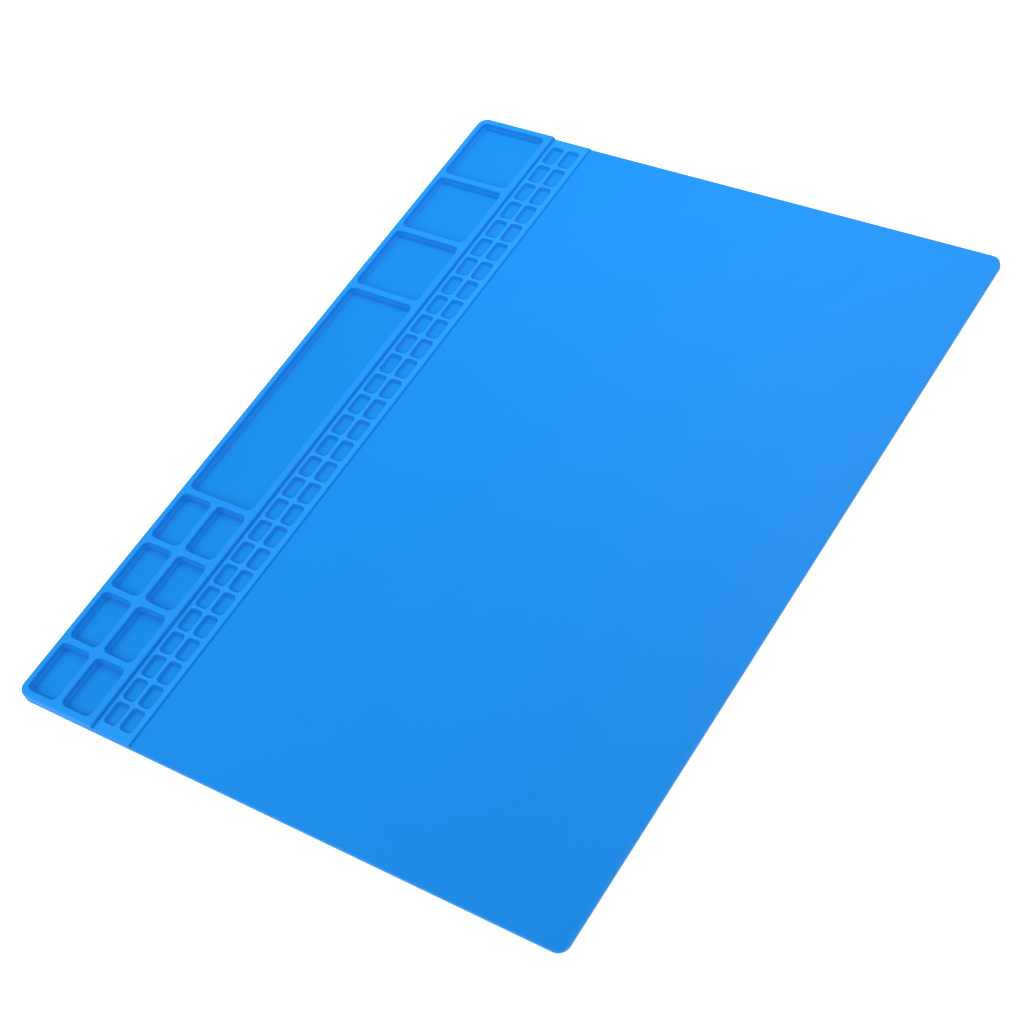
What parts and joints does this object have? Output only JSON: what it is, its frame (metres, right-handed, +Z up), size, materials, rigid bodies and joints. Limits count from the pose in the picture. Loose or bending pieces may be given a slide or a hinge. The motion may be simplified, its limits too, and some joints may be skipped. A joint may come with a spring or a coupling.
{
  "type": "silicone repair mat",
  "caption": "Blue silicone repair work mat: a large smooth work area, with a raised band of parts trays and a band of shallow sorting pockets along one long side.",
  "frame": {"origin": "middle of the flat underside, where the mat lies on the bench", "axes": "+Z up out of the work surface; +Y along the long side, towards the end with the square trays; +X across the short side, away from the trays"},
  "size_m": [0.305, 0.405, 0.0056],
  "materials": {
    "blue_silicone": "smooth matt moulded silicone with a faint sheen"
  },
  "bodies": {
    "root": {"mat": "blue_silicone"}
  },
  "joints": []
}
